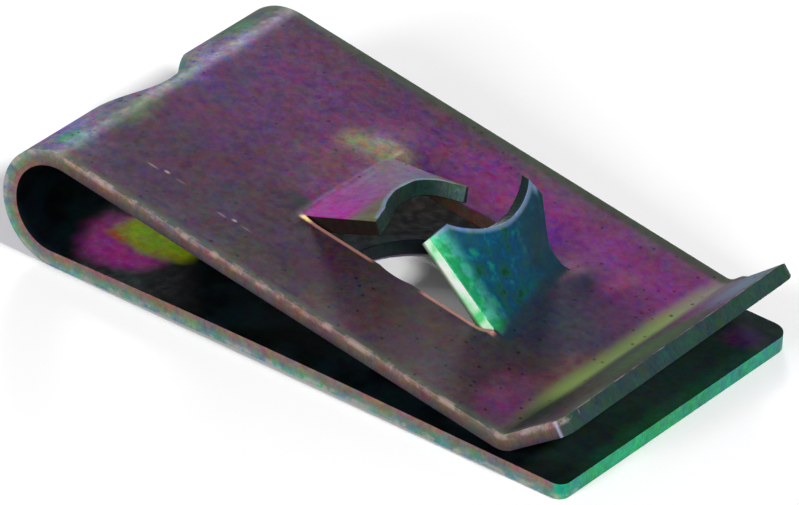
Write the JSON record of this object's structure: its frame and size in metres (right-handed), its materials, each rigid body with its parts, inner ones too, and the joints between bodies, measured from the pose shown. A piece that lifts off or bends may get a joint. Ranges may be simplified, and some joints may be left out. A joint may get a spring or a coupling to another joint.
{
  "type": "u clip speed nut",
  "caption": "U-shaped sheet-steel clip nut with a clearance hole in the lower leg, a thread impression in the upper leg and a turned-up lip.",
  "frame": {"origin": "screw axis at the resting plane under the lower leg", "axes": "+Z along the screw axis, up through the upper leg; +X from the bend to the mouth; Y across the strip"},
  "size_m": [0.0246, 0.013, 0.0055],
  "materials": {
    "chromated_steel": "satin"
  },
  "bodies": {
    "root": {"clip": "chromated_steel"}
  },
  "joints": []
}
